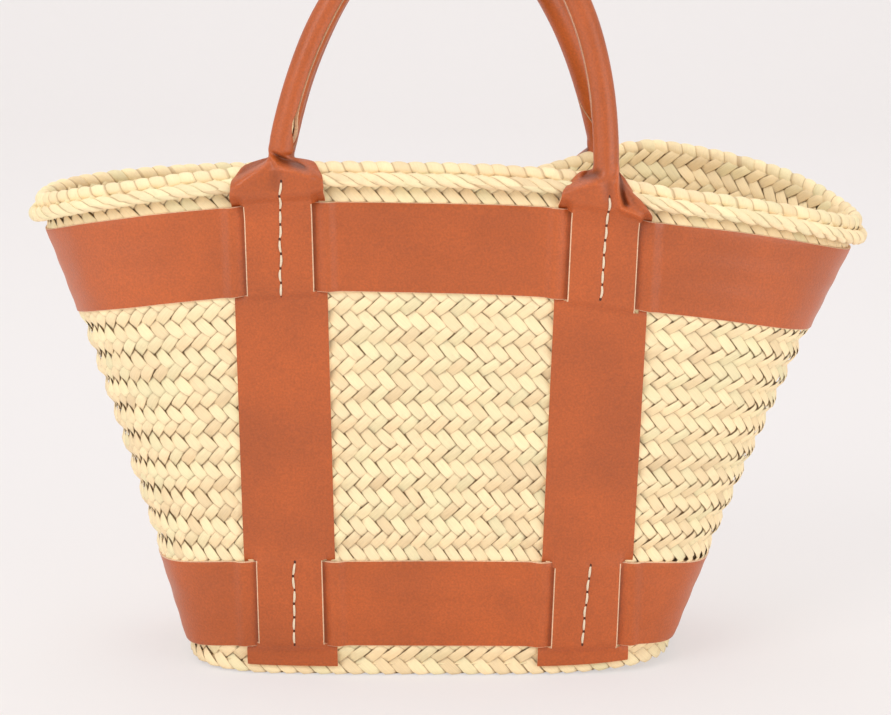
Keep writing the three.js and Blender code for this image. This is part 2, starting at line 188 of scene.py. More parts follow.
def rim_height(angle):
    """A saddle: a fourth-order curve in cos(angle). The front dips left of the left strap and crests
    between the straps; the slack left part of the back hangs lower."""
    c, s = np.cos(angle), np.sin(angle)
    saddle = RIM_HEIGHT - 17.2 * c - 9.7 * c**2 + 10 * c**3 - 27 * c**4
    dip = ease(-1, -0.75, c) * (1 - ease(-0.7, -0.25, c))
    crest = ease(-0.6, 0.25, c) * (1 - ease(0.22, 0.58, c))
    right = ease(0.1, 0.55, c)
    front = FRONT_CREST * crest - FRONT_DIP * dip
    back = BACK_RISE * ease(0, 0.6, s) * right - BACK_DROP * ease(0.1, 1.05, s) * (1 - right)
    return saddle + np.where(s < 0, front, back)


def foot_height(angle):
    c = np.cos(angle)
    return np.where(c > 0, 6 * ease(0.3, 1, c), 3 * ease(0.5, 1, -c))


def oval(height):
    """Half length, middle, half depth and squareness of the wall's plan at a height."""
    half = mix(BASE_LENGTH, RIM_LENGTH, height) / 2 + RIM_FLARE * np.abs(height) ** 12
    depth = mix(BASE_DEPTH, RIM_DEPTH, height) / 2
    return half, -RIM_LEFT_SHIFT + RIM_DRIFT * height, depth, 0.095 * (1 - height)


def skin(angle, height):
    """Outside of the wall: an oval in plan that grows with height, drawn in at the slack part of the back."""
    angle, height = np.broadcast_arrays(np.asarray(angle, float), np.asarray(height, float))
    half, middle, depth, square = oval(height)
    c, s = np.cos(angle), np.sin(angle)
    along = (c - square * np.cos(3 * angle)) / (1 - square)
    across = (s + 0.1 * np.sin(3 * angle)) / 0.9
    pinch = height * ease(0, 0.8, s) * (BACK_PINCH - (BACK_PINCH + 0.06) * ease(0, 0.6, c))
    foot = foot_height(angle)
    z = foot + height * (rim_height(angle) - foot)
    return np.stack([middle + half * along, depth * across * (1 - pinch), z], -1)


def skin_normal(angle, height):
    """Cross product of the skin's two directions."""
    step = 1e-4
    turn = skin(angle + step, height) - skin(angle - step, height)
    rise = skin(angle, height + step) - skin(angle, height - step)
    return unit(np.cross(turn, rise))


def wall(angle, height, offset):
    """A point at a distance outside the skin."""
    return skin(angle, height) + skin_normal(angle, height) * np.asarray(offset, float)[..., None]


def angle_at(x, height, side):
    """The angle at which the front or back of the wall has a given X, found by Newton's steps."""
    half, middle, _, square = oval(height)
    target = (x - middle) / half * (1 - square)
    c = target
    for _ in range(8):
        value = (1 + 3 * square) * c - 4 * square * c**3 - target
        c = c - value / (1 + 3 * square - 12 * square * c**2)
    return side * np.arccos(np.clip(c, -1, 1))


def below(angle, distance):
    """The share of the wall's height that lies this far under the rim."""
    return 1 - distance / (rim_height(angle) - foot_height(angle))


def belt_rise(angle, middle):
    """Millimetres of skin per unit of height at a belt's middle."""
    return np.linalg.norm(skin(angle, middle + 0.01) - skin(angle, middle - 0.01), axis=-1) / 0.02


def belt_drift(angle, middle):
    """Millimetres by which a belt strays from its share of the wall's height."""
    return (-LOWER_DIP if middle == LOWER_BELT else 0.0) * ease(0.5, 1, np.abs(np.cos(angle)))


def belt_height(angle, middle, distance):
    return middle + (distance + belt_drift(angle, middle)) / belt_rise(angle, middle)


def row_height(row, rows):
    """Height of a border between rows. Above the upper belt the rows lie a third of a row higher."""
    return (row + 0.3 * ease(0.83 * rows, 0.9 * rows, row)) / rows


def ripple_at(height, rows):
    """1 on the crest in the middle of each sewn strip, -1 in the seam between two strips."""
    return np.cos(np.pi * height * rows)


def slow_noise(x, y, seed):
    """Smooth noise between about -1 and 1: a sum of eight sine waves in different directions."""
    rng = np.random.default_rng(seed)
    total = 0
    for _ in range(8):
        a, b, phase = rng.normal(size=2).tolist() + [rng.uniform(0, 2 * np.pi)]
        total = total + np.sin(a * x + b * y + phase)
    return total / 4


# Mesh making.

def grid_faces(rows, columns, closed_rows=False, closed_columns=False):
    """Four-sided faces of a grid of points, rows first."""
    r = np.arange(rows if closed_rows else rows - 1)
    c = np.arange(columns if closed_columns else columns - 1)
    r, c = np.meshgrid(r, c, indexing="ij")
    rn, cn = (r + 1) % rows, (c + 1) % columns
    corners = [r * columns + c, r * columns + cn, rn * columns + cn, rn * columns + c]
    return np.stack(corners, -1).reshape(-1, 4)


def repeated_faces(count, rows, columns):
    """Faces of many equal grids whose points follow one another."""
    one = grid_faces(rows, columns)
    return (one[None] + (np.arange(count) * rows * columns)[:, None, None]).reshape(-1, 4)


def make_piece(name, points, faces, materials, uv=None, values=None):
    """A mesh object from points in millimetres, with smooth faces and point attributes."""
    mesh = bpy.data.meshes.new(name)
    mesh.from_pydata((np.asarray(points).reshape(-1, 3) / 1000).tolist(), [], np.asarray(faces).tolist())
    mesh.polygons.foreach_set("use_smooth", np.ones(len(mesh.polygons), bool))
    if uv is not None:
        layer = mesh.uv_layers.new(name="UVMap")
        corner = np.empty(len(mesh.loops), np.int32)
        mesh.loops.foreach_get("vertex_index", corner)
        layer.data.foreach_set("uv", np.asarray(uv, np.float32).reshape(-1, 2)[corner].ravel())
    for key, value in (values or {}).items():
        stored = mesh.attributes.new(key, "FLOAT", "POINT")
        stored.data.foreach_set("value", np.asarray(value, np.float32).ravel())
    for material in materials:
        mesh.materials.append(material)
    mesh.update()
    piece = bpy.data.objects.new(name, mesh)
    bpy.context.scene.collection.objects.link(piece)
    return piece


def apply_modifiers(piece):
    """Keeps what the piece's modifiers make, and removes them."""
    bpy.context.view_layer.update()
    made = bpy.data.meshes.new_from_object(piece.evaluated_get(bpy.context.evaluated_depsgraph_get()))
    old = piece.data
    piece.modifiers.clear()
    piece.data = made
    bpy.data.meshes.remove(old)
    made.name = piece.name


def thicken(piece, thickness, bevel):
    """Gives a sheet its thickness inwards, a cut edge of the second material and a small rounding."""
    solid = piece.modifiers.new("Thickness", "SOLIDIFY")
    solid.thickness = thickness / 1000
    solid.offset = -1
    solid.material_offset_rim = 1
    rounding = piece.modifiers.new("Rounding", "BEVEL")
    rounding.width = bevel / 1000
    rounding.segments = 2
    rounding.limit_method = "ANGLE"
    rounding.angle_limit = math.radians(55)
    rounding.material = 1
    apply_modifiers(piece)


# Materials.

def node(tree, kind, inputs=None, **settings):
    """A shader node with its settings and its unlinked input values."""
    made = tree.nodes.new(kind)
    for key, value in settings.items():
        setattr(made, key, value)
    for key, value in (inputs or {}).items():
        if isinstance(value, bpy.types.NodeSocket):
            tree.links.new(value, made.inputs[key])
        else:
            made.inputs[key].default_value = value
    return made


def rgba(colour):
    return (*tuple(colour)[:3], 1.0)


def blend_colour(tree, share, first, second, kind="MIX"):
    """A colour mix, returned as its output socket."""
    mixed = {0: share, 6: first, 7: second}
    mixer = node(tree, "ShaderNodeMix", mixed, data_type="RGBA", blend_type=kind, clamp_factor=True)
    return mixer.outputs[2]


def new_group(name, inputs, outputs):
    """An empty node group with named sockets: returns the tree, its inputs and its output node."""
    tree = bpy.data.node_groups.new(name, "ShaderNodeTree")
    for label, kind, default in inputs:
        socket = tree.interface.new_socket(label, in_out="INPUT", socket_type=kind)
        if default is not None:
            socket.default_value = default
    for label, kind in outputs:
        tree.interface.new_socket(label, in_out="OUTPUT", socket_type=kind)
    return tree, tree.nodes.new("NodeGroupInput").outputs, tree.nodes.new("NodeGroupOutput")


def noise(tree, place, scale, detail=2.0):
    given = {"Vector": place, "Scale": scale, "Detail": detail}
    return node(tree, "ShaderNodeTexNoise", given).outputs["Fac"]


def attribute(tree, name):
    return node(tree, "ShaderNodeAttribute", attribute_name=name).outputs["Fac"]


def object_place(tree):
    return node(tree, "ShaderNodeTexCoord").outputs["Object"]


def span(tree, value, low, high, to_low=0.0, to_high=1.0):
    """Maps low and high to to_low and to_high, and holds the ends."""
    limits = {"Value": value, "From Min": low, "From Max": high, "To Min": to_low, "To Max": to_high}
    return node(tree, "ShaderNodeMapRange", limits).outputs[0]


def combine(tree, a, b, operation="MULTIPLY"):
    return node(tree, "ShaderNodeMath", {0: a, 1: b}, operation=operation).outputs[0]


def shaded(tree, colour, light):
    """A colour times a grey value."""
    grey = node(tree, "ShaderNodeCombineColor", {0: light, 1: light, 2: light}).outputs[0]
    return blend_colour(tree, 1.0, colour, grey, "MULTIPLY")


def straw_group():
    """Colour and fibre height of one straw float. Its UV map runs along the float in millimetres; the
    attributes hold its tone, its tint and how near the edge a point is. Near the edge, and by Darkness, the
    colour goes towards Gap, painted shade for the gaps between floats."""
    colours = [(name, "NodeSocketColor", None) for name in ("Straw", "Tan", "Green", "Gap")]
    tree, given, out = new_group(
        "Straw fibres",
        colours + [("Darkness", "NodeSocketFloat", 0.0)],
        [("Colour", "NodeSocketColor"), ("Height", "NodeSocketFloat"), ("Roughness", "NodeSocketFloat")],
    )
    uv = node(tree, "ShaderNodeUVMap", uv_map="UVMap").outputs[0]
    stretched = node(tree, "ShaderNodeMapping", {"Vector": uv, "Scale": (0.07, 2.6, 1.0)}).outputs[0]
    fibre = noise(tree, stretched, 1.0, 3.0)
    blotch = noise(tree, object_place(tree), 160.0, 3.0)
    tint = attribute(tree, "tint")
    colour = blend_colour(tree, span(tree, tint, 0.62, 1.0, 0, 0.6), given["Straw"], given["Green"])
    colour = blend_colour(tree, span(tree, tint, 0.26, 0.0, 0, 0.65), colour, given["Tan"])
    colour = blend_colour(tree, span(tree, blotch, 0.54, 0.74, 0, 0.28), colour, given["Tan"])
    tone = span(tree, attribute(tree, "tone"), 0, 1, 0.93, 1.05)
    colour = shaded(tree, colour, combine(tree, tone, span(tree, fibre, 0.3, 0.7, 0.93, 1.05)))
    # Painted shade: towards Gap at the float's edges, and by Darkness all over the core in the gaps.
    colour = blend_colour(tree, span(tree, attribute(tree, "edge"), 0.84, 1.0, 0, 0.62), colour, given["Gap"])
    colour = blend_colour(tree, given["Darkness"], colour, given["Gap"])
    tree.links.new(colour, out.inputs["Colour"])
    tree.links.new(fibre, out.inputs["Height"])
    tree.links.new(span(tree, fibre, 0.3, 0.7, 0.62, 0.48), out.inputs["Roughness"])
    return tree


def leather_group():
    """Grain and soft clouds of colour on Object coordinates, with painted shade in crease pockets and
    beside the tongues, and painted highlight on crease ridges.
    """
    tree, given, out = new_group(
        "Leather grain",
        [("Leather", "NodeSocketColor", None), ("Grain scale", "NodeSocketFloat", 750.0)],
        [("Colour", "NodeSocketColor"), ("Height", "NodeSocketFloat"), ("Roughness", "NodeSocketFloat")],
    )
    place, scale = object_place(tree), given["Grain scale"]
    pores = node(tree, "ShaderNodeTexVoronoi", {"Vector": place, "Scale": scale}).outputs["Distance"]
    fine = noise(tree, place, scale, 4.0)
    cloud, wide = noise(tree, place, 26.0, 3.0), noise(tree, place, 9.0, 1.0)
    painted_light_and_shade = attribute(tree, "painted_light_and_shade")
    clouds = combine(tree, span(tree, cloud, 0.35, 0.65, 0.93, 1.07),
                     span(tree, wide, 0.35, 0.65, 0.95, 1.06))
    grain = combine(tree, clouds, span(tree, fine, 0.3, 0.7, 0.86, 1.14))
    # Painted shade where the attribute is negative (crease pockets, beside the tongues), painted highlight
    # where it is positive (crease ridges).
    painted_light_factor = combine(tree, span(tree, painted_light_and_shade, -1, 0, 0.42, 1), span(tree, painted_light_and_shade, 0, 0.8, 1, 1.22))
    tree.links.new(shaded(tree, given["Leather"], combine(tree, grain, painted_light_factor)), out.inputs["Colour"])
    tree.links.new(combine(tree, span(tree, pores, 0.0, 0.6), fine, "ADD"), out.inputs["Height"])
    tree.links.new(span(tree, cloud, 0.35, 0.65, 0.38, 0.50), out.inputs["Roughness"])
    return tree


def principled(name, **constants):
    """A material whose Principled shader has these constant values: returns it, its tree and its shader."""
    material = bpy.data.materials.new(name)
    material.use_nodes = True
    shader = material.node_tree.nodes["Principled BSDF"]
    for key, value in constants.items():
        shader.inputs[key.replace("_", " ")].default_value = value
    return material, material.node_tree, shader


def grouped_material(name, group_name, make_group, given, bump, **constants):
    """A material whose colour, roughness and bump come from one shared group with these input values."""
    found = bpy.data.materials.get(name)
    if found:
        return found
    material, tree, shader = principled(name, **constants)
    shared = bpy.data.node_groups.get(group_name) or make_group()
    group = node(tree, "ShaderNodeGroup", given, node_tree=shared)
    strength, distance = bump
    pattern = {"Strength": strength, "Distance": distance, "Height": group.outputs["Height"]}
    tree.links.new(group.outputs["Colour"], shader.inputs["Base Color"])
    tree.links.new(group.outputs["Roughness"], shader.inputs["Roughness"])
    tree.links.new(node(tree, "ShaderNodeBump", pattern).outputs[0], shader.inputs["Normal"])
    return material


def straw_material(name, darkness=0.0):
    weave = bpy.context.scene.tote_weave
    given = {"Straw": rgba(weave.straw), "Tan": rgba(weave.tan), "Green": rgba(weave.green),
             "Gap": rgba(weave.shadow), "Darkness": darkness}
    return grouped_material(name, "Straw fibres", straw_group, given, (0.35, 0.0003), Specular_IOR_Level=0.35)


def leather_material(name, colour, sheen):
    given = {"Leather": rgba(colour), "Grain scale": 1 / bpy.context.scene.tote_leather.grain}
    return grouped_material(name, "Leather grain", leather_group, given, (0.3, 0.00025),
                            Specular_IOR_Level=0.6, Sheen_Weight=sheen, Sheen_Roughness=0.45)


def leather_and_edge(name, colour):
    """The face of a piece of leather and its raw cut edge."""
    edge = bpy.context.scene.tote_leather.edge
    return [leather_material(name, colour, 0.08), leather_material("Cut leather edge", edge, 0.0)]


# Straw.

# A float is a rectangle turned by 45 degrees. Its half length and half width are in units of the row's
# pitch; its points are in units of those two.
HALF_LENGTH = 0.7071
HALF_WIDTH = 0.3536
DIAGONAL = 0.70711
FLOAT_ALONG = np.array([-1.13, -0.98, -0.62, 0.0, 0.62, 0.98, 1.13])
FLOAT_ACROSS = np.array([-1.0, -0.82, 0.0, 0.82, 1.0])
FLOAT_TILT = 0.16  # millimetres by which the long edges of a float rise or sink


def float_points(share, slant, surface, rng, relief):
    """Points, UV and attributes of one row of floats.

    Rows slanted left and right lock into a herringbone. Along a float the height is
    relief * (1 - |a|^2.6), so that both ends dive under the next rows; across it is slightly crowned.
    surface(share, dx, dy, out) places the points."""
    count = len(share)
    a, b = np.meshgrid(FLOAT_ALONG, FLOAT_ACROSS, indexing="ij")
    a, b = a[None], b[None]

    def draw(pick, low, high):
        return pick(low, high, (count, 1, 1))

    wide = draw(rng.uniform, 0.97, 1.05)
    lean = draw(rng.normal, 0, 0.045)
    length = draw(rng.uniform, 0.95, 1.03)
    along = a * HALF_LENGTH * length
    across = b * HALF_WIDTH * wide * (1 - 0.05 * a**2)
    along, across = along - lean * across, across + lean * along
    dx = (along + across) * DIAGONAL + draw(rng.normal, 0, 0.02)
    dy = slant * (across - along) * DIAGONAL + draw(rng.normal, 0, 0.015)
    rise = relief * (1 - np.minimum(np.abs(a), 1.2) ** 2.6) - 0.55 * relief
    crown = 0.22 * (1 - b**4) - 0.22 * (np.abs(b) > 0.9)
    out = rise + crown + FLOAT_TILT * draw(rng.normal, 0, 1) * b + draw(rng.normal, 0, 0.10)
    points = surface(share[:, None, None], dx, dy, out)
    seed = draw(rng.uniform, 0, 900)
    uv = np.stack(np.broadcast_arrays(along * 10 + seed, across * 10 + seed * 1.7), -1)
    # How near a point is to the float's sides and ends, where the straw shader paints shade.
    edge = np.maximum(np.abs(b) * 0.97, np.clip(np.abs(a) - 0.12, 0, 1)) + 0 * dx
    tone = np.broadcast_to(draw(rng.uniform, 0, 1), dx.shape)
    tint = np.broadcast_to(draw(rng.uniform, 0, 1), dx.shape)
    return points, uv, {"tone": tone, "tint": tint, "edge": edge}


def gather_floats(name, rows, material):
    """Joins rows of floats into one piece."""
    points = np.concatenate([row[0].reshape(-1, 3) for row in rows])
    uv = np.concatenate([row[1].reshape(-1, 2) for row in rows])
    values = {key: np.concatenate([row[2][key].ravel() for row in rows]) for key in ("tone", "tint", "edge")}
    along, across = len(FLOAT_ALONG), len(FLOAT_ACROSS)
    faces = repeated_faces(len(points) // (along * across), along, across)
    return make_piece(name, points, faces, [material], uv, values)


def gap_core(name, points, faces):
    """A closed shell between the floats, so that the gaps look into straw and not through it. Its straw is
    painted dark as the shade in the gaps.
    """
    flat = np.zeros(points.shape[:2])
    return make_piece(name, points, faces, [straw_material("Straw in the gaps", 0.6)],
                      np.zeros(points.shape[:2] + (2,)), {"tone": flat, "tint": flat + 0.4, "edge": flat})


def arc_table(height, steps=1440):
    """Angles at equal shares of the way round the wall at a height."""
    angles = np.linspace(0, 2 * np.pi, steps + 1)
    points = skin(angles, height)
    run = np.concatenate([[0], np.cumsum(np.linalg.norm(np.diff(points, axis=0), axis=1))])
    return angles, run / run[-1], run[-1]


def floats_around(height, around):
    """Fewer floats under the lower belt and more above the upper belt, as the basket widens."""
    if height < 0.06:
        return round(around * 0.74)
    if height < 0.2:
        return round(around * mix(0.8, 1.0, (height - 0.06) / 0.17))
    return around if height < 0.8 else round(around * 1.1)


def wall_rows(inner):
    """All rows of floats on the outside or the inside of the wall."""
    weave = bpy.context.scene.tote_weave
    rng = np.random.default_rng(11 if inner else 7)
    ripple = weave.ripple * 1000
    face = -1 if inner else 1
    made = []
    for row in range(weave.rows - 1):
        angles, shares, _ = arc_table(row_height(row + 0.5, weave.rows))
        count = floats_around(row // 2 * 2 / weave.rows, weave.around)
        slant = 1 if row % 2 == 0 else -1
        share = (np.arange(count) + (0.0 if slant > 0 else 0.5)) / count + 0.003

        def surface(share, dx, dy, out):
            angle = np.interp((share + dx / count) % 1.0, shares, angles)
            height = np.clip(row_height(row + 0.5 + dy, weave.rows), 0.002, WALL_TOP)
            bulge = ripple * np.cos(np.pi * (row + 0.5 + dy))
            lift = out + bulge * (0.6 if inner else 1.0) - 0.1
            return wall(angle, height, lift if not inner else -STRAW - lift)

        # Seen from outside, the angle grows to the right along the front, and so does dx.
        made.append(float_points(share, slant * face, surface, rng, weave.relief * 1000))
    return made


class TOTE_OT_wall(Operator):
    """Woven wall: herringbone floats outside and inside, on a core painted dark as shade in the gaps"""
    bl_idname = "tote.wall"
    bl_label = "Woven wall"

    def execute(self, context):
        straw = straw_material("Woven straw")
        outer = gather_floats("weave_outside", wall_rows(False), straw)
        inner = gather_floats("weave_inside", wall_rows(True), straw)
        inner.data.flip_normals()
        columns = 256
        angles = np.linspace(0, 2 * np.pi, columns, endpoint=False)
        heights = np.linspace(0.004, 0.97, 60)
        outside = [wall(angles, h, np.full(columns, -CORE_DEPTH)) for h in heights]
        inside = [wall(angles, h, np.full(columns, -STRAW + CORE_DEPTH)) for h in heights[::-1]]
        points = np.stack(outside + inside)
        faces = grid_faces(len(points), columns, closed_rows=True, closed_columns=True)
        core = gap_core("weave_core", points, faces)
        for piece in (outer, inner, core):
            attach(piece, "basket")
            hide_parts("basket_wall")
        return {"FINISHED"}


class TOTE_OT_base(Operator):
    """Woven base: rings of floats under and on top of the flat base"""
    bl_idname = "tote.base"
    bl_label = "Woven base"

    def execute(self, context):
        weave = context.scene.tote_weave
        rng = np.random.default_rng(5)
        straw = straw_material("Woven straw")
        angles, shares, length = arc_table(0.01)
        rings = 9

        def base_point(angle, share, lift):
            """The foot of the wall drawn towards the middle line, flat inside and lifted at both ends."""
            rim = wall(angle, np.full(np.shape(angle), 0.006), np.full(np.shape(angle), -0.6))
            foot = foot_height(angle) * ease(0.4, 1.0, share) ** 2
            x = mix(-RIM_LEFT_SHIFT, rim[..., 0], mix(0.5, 1.0, share))
            return np.stack([x, rim[..., 1] * share, np.maximum(foot + lift, 0.15)], -1)

        pieces = []
        for name, top in (("base_underside", False), ("base_inside", True)):
            made = []
            for ring in range(rings):
                middle = 1 - (ring + 0.5) / rings
                count = max(24, round(length / 10.5 * mix(0.55, 1, middle)))
                slant = 1 if ring % 2 == 0 else -1
                share = (np.arange(count) + (0.0 if slant > 0 else 0.5)) / count

                def surface(share, dx, dy, out):
                    angle = np.interp((share + dx / count) % 1.0, shares, angles)
                    place = np.clip(middle + dy / rings, 0.0, 1.0)
                    return base_point(angle, place, STRAW + 0.3 + out if top else 0.9 - out)

                made.append(float_points(share, slant, surface, rng, weave.relief * 700))
            pieces.append(gather_floats(name, made, straw))
            if top:
                pieces[-1].data.flip_normals()
        columns = 192
        around = np.linspace(0, 2 * np.pi, columns, endpoint=False)
        levels = np.linspace(1, 0, 12)
        low = [base_point(around, np.full(columns, s), 1.6) for s in levels]
        high = [base_point(around, np.full(columns, s), STRAW - 0.9) for s in levels[::-1]]
        points = np.stack(low + high)
        faces = grid_faces(len(points), columns, closed_rows=True, closed_columns=True)[:, ::-1]
        pieces.append(gap_core("base_core", points, faces))
        for piece in pieces:
            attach(piece, "basket")
            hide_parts("basket_base")
        return {"FINISHED"}


def wound_cord(name, depth, offset, half_height, half_width, segments, twist, strands, seed, groove):
    """A cord round the rim whose surface is wound by strands.

    The section is an ellipse. The grid follows the strands: q numbers a strand and runs across it, and a
    point with q and turn lies at (q + twist * strands * turn / (2 pi)) / segments of the way round, so
    one full turn joins strand q to strand q + twist * strands. Each strand is crowned by
    1 - groove * |2 part - 1|^2.6, so that neighbours meet in a narrow groove."""
    rng = np.random.default_rng(seed)
    parts = np.array([0.0, 0.05, 0.16, 0.34, 0.5, 0.66, 0.84, 0.95])
    corners = 26
    number = np.repeat(np.arange(segments), len(parts))
    part = np.tile(parts, segments)
    pick = rng.uniform(0, 1, (segments, 4))[number]
    turn = np.arange(corners) / corners * 2 * np.pi
    slack = 0.16 * slow_noise(number * 1.7, part * 0, seed)
    q, turn = np.meshgrid(number + part + slack, turn, indexing="ij")
    middle = np.abs(2 * part - 1)[:, None]
    lobe = 1 - groove * middle**2.6 - 0.07 * (pick[:, 2] * (1 - middle[:, 0] ** 4))[:, None]
    angles, shares, _ = arc_table(WALL_TOP)
    around = (q + twist * strands * turn / (2 * np.pi)) / segments
    angle = np.interp(around % 1.0, shares, angles)
    height = below(angle, depth - half_height * np.sin(turn) * lobe)
    points = wall(angle, height, offset + half_width * np.cos(turn) * lobe)
    flat = np.zeros(points.shape[:2])
    across = part * 10 + pick[:, 1] * 800
    uv = np.stack([turn * 14 + (pick[:, 0] * 800)[:, None], flat + across[:, None]], -1)
    # edge is 1 in the grooves between strands, where the straw shader paints shade.
    values = {"tone": flat + pick[:, 3:4], "tint": flat + pick[:, 1:2], "edge": flat + middle}
    rows = len(number)
    r, c = np.meshgrid(np.arange(rows), np.arange(corners), indexing="ij")
    turned = np.where(c == corners - 1, twist * strands * len(parts), 0)
    after = (c + 1) % corners
    faces = np.stack([r * corners + c, (r + turned) % rows * corners + after,
                      (r + 1 + turned) % rows * corners + after, (r + 1) % rows * corners + c], -1)
    return make_piece(name, points, faces.reshape(-1, 4), [straw_material("Woven straw")], uv, values)


class TOTE_OT_rim(Operator):
    """Rim: the overcast edge and the twisted rope sewn under it"""
    bl_idname = "tote.rim"
    bl_label = "Wrapped edge and rope"

    def execute(self, context):
        edge = wound_cord(
            "edge_wrap", depth=EDGE_HEIGHT / 2, offset=-STRAW / 2, half_height=EDGE_HEIGHT / 2 + 0.4,
            half_width=EDGE_WIDTH / 2 + 0.4, segments=122, twist=-1, strands=1, seed=3, groove=0.26,
        )
        rope = wound_cord(
            "rope_strands", depth=ROPE_DEPTH, offset=ROPE_RADIUS + GAP, half_height=ROPE_RADIUS + 0.5,
            half_width=ROPE_RADIUS + 0.3, segments=120, twist=-1, strands=3, seed=4, groove=0.32,
        )
        for piece, name in ((edge, "rim_edge"), (rope, "rim_rope")):
            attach(piece, "basket")
            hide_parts(name)
        return {"FINISHED"}


# Leather.

def strap_middle(strap, height):
    return mix(strap["foot"], strap["head"], height)


def belt_lift(x, height):
    """0 where the belt lies on the wall or under a tongue, 1 where it crosses a strap's margin."""
    total = 0
    for strap in STRAPS.values():
        away = np.abs(x - strap_middle(strap, height))
        margin = ease(TONGUE_WIDTH / 2 + 0.9, TONGUE_WIDTH / 2 + SLIT_WIDTH + 2.6, away)
        margin = margin * mix(1 - MARGIN_SINK, 1, ease(TONGUE_WIDTH / 2 + 1, STRAP_WIDTH / 2 + 4, away))
        total = total + margin * (1 - ease(STRAP_WIDTH / 2 + 0.2, STRAP_WIDTH / 2 + 8, away))
    return total


def make_belt(name, middle, seed, rows_of_straw):
    """A band of leather round the wall, lifted over the strap margins and drawn slightly into the weave."""
    angles, shares, length = arc_table(middle)
    columns = 900
    across = np.linspace(-0.5, 0.5, 17)
    u, v = np.meshgrid(np.arange(columns) / columns, across, indexing="ij")
    angle = np.interp(u, shares, angles)
    run = u * length
    edge_wave = 0.5 * slow_noise(run / 42, np.sign(v) * 3.0, seed + 1) * np.abs(2 * v) ** 3
    height = belt_height(angle, middle, v * BELT_WIDTH + edge_wave)
    x = skin(angle, height)[..., 0]
    lift = belt_lift(x, height)
    ends = ease(0.72, 0.97, np.abs(np.cos(angle)))
    soft = 0.55 * slow_noise(run / 30, v * 2.2, seed) + 0.35 * slow_noise(run / 11, v * 1.5, seed + 2)
    ripple = 0.2 * ripple_at(height, rows_of_straw)
    free = 1 - ease(0.0, 0.6, lift)
    offset = GAP + LEATHER + lift * LEVEL + (soft * mix(0.35, 0.8, ends) + ripple) * mix(0.3, 1.0, free)
    points = wall(angle, height, np.maximum(offset, GAP + LEATHER - 1.0))
    away = [np.abs(x - strap_middle(strap, height)) - TONGUE_WIDTH / 2 for strap in STRAPS.values()]
    # Painted shadow on the belt just beside each tongue's cut edge; the leather shader darkens the belt
    # there.
    beside = sum(np.exp(-(((gap - 1.1) / 1.0) ** 2)) for gap in away)
    faces = grid_faces(columns, len(across), closed_rows=True)[:, ::-1]
    leather = leather_and_edge("Belt leather", bpy.context.scene.tote_leather.belt)
    piece = make_piece(name, points, faces, leather, values={"painted_light_and_shade": -0.6 * beside})
    thicken(piece, LEATHER, 0.35)
    return piece


class TOTE_OT_belts(Operator):
    """Two leather belts laced through the straps' slits"""
    bl_idname = "tote.belts"
    bl_label = "Leather belts"

    def execute(self, context):
        rows = context.scene.tote_weave.rows
        for name, middle, seed in (("belt_upper", UPPER_BELT, 21), ("belt_lower", LOWER_BELT, 31)):
            piece = make_belt(name + "_leather", middle, seed, rows)
            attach(piece, "basket")
            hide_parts(name)
        return {"FINISHED"}


def head_frame(strap, side):
    """Where a strap reaches the rim: a point of the skin, outward and sideways to +X."""
    angle = angle_at(np.array(strap["roots"][side]), 1.0, side)
    out = unit(skin_normal(angle, 1.0) * np.array([1, 1, 0]))
    return skin(angle, 1.0), out, np.cross([0, 0, 1], out) * -side


def handle_axis(side, steps):
    """Points and directions of the arch: a cubic curve from root to root, leaning to the other handle."""
    start, end = (head_frame(strap, side)[0] + [0, 0, ROOT_RISE] for strap in STRAPS.values())
    rise = np.array([0, -side * math.sin(HANDLE_LEAN), math.cos(HANDLE_LEAN)]) * HANDLE_RISE / 0.75
    across = unit(end - start)
    left, right = HANDLE_INSETS[side]
    control = [start, start + rise + across * left, end + rise - across * right, end]
    t = steps[:, None]
    weights = [(1 - t) ** 3, 3 * (1 - t) ** 2 * t, 3 * (1 - t) * t**2, t**3]
    points = sum(w * p for w, p in zip(weights, control))
    slopes = [3 * (1 - t) ** 2, 6 * (1 - t) * t, 3 * t**2]
    return points, unit(sum(w * (control[i + 1] - control[i]) for i, w in enumerate(slopes)))


def sheet_columns():
    """Columns of the leather sheet, in millimetres across the strap. Each slit lies between two of them."""
    half, tongue, margin = STRAP_WIDTH / 2, TONGUE_WIDTH / 2, TONGUE_WIDTH / 2 + SLIT_WIDTH
    edge = tongue + TONGUE_MORE
    inner = np.concatenate([[-edge], np.linspace(RAW_LINE - edge, edge - RAW_LINE, 29), [edge]])
    outer = np.linspace(margin, half, 4)
    return np.concatenate([-outer[::-1], inner, outer])


def roll_section(turning, flat, columns):
    """Section of the sheet: a flat middle whose share is flat, then two arcs that each turn through
    half of turning. The angle along the sheet is integrated to give x and the depth behind the front."""
    s = np.linspace(0, 1, 241)
    psi = turning[:, None] / 2 * np.clip((s[None] - flat[:, None]) / (1.0001 - flat[:, None]), 0, 1)
    step = s[1] - s[0]

    def along(values):
        middle = (values[:, 1:] + values[:, :-1]) / 2 * step
        return np.concatenate([np.zeros((len(values), 1)), np.cumsum(middle, 1)], 1)

    x, y = along(np.cos(psi)), along(np.sin(psi))
    half = STRAP_WIDTH / 2
    share = np.abs(columns) / half
    xs = np.stack([np.interp(share, s, row) for row in x]) * half * np.sign(columns)
    ys = np.stack([np.interp(share, s, row) for row in y]) * half
    return xs, -ys


def ridge(a, d, start, end, width):
    """1 along a line on the sheet from start to end, falling off like a bell to both sides."""
    start, end = np.array(start, float), np.array(end, float)
    run = end - start
    t = np.clip(((a - start[0]) * run[0] + (d - start[1]) * run[1]) / (run @ run), 0, 1)
    away = (a - start[0] - t * run[0]) ** 2 + (d - start[1] - t * run[1]) ** 2
    return np.exp(-away / width**2)


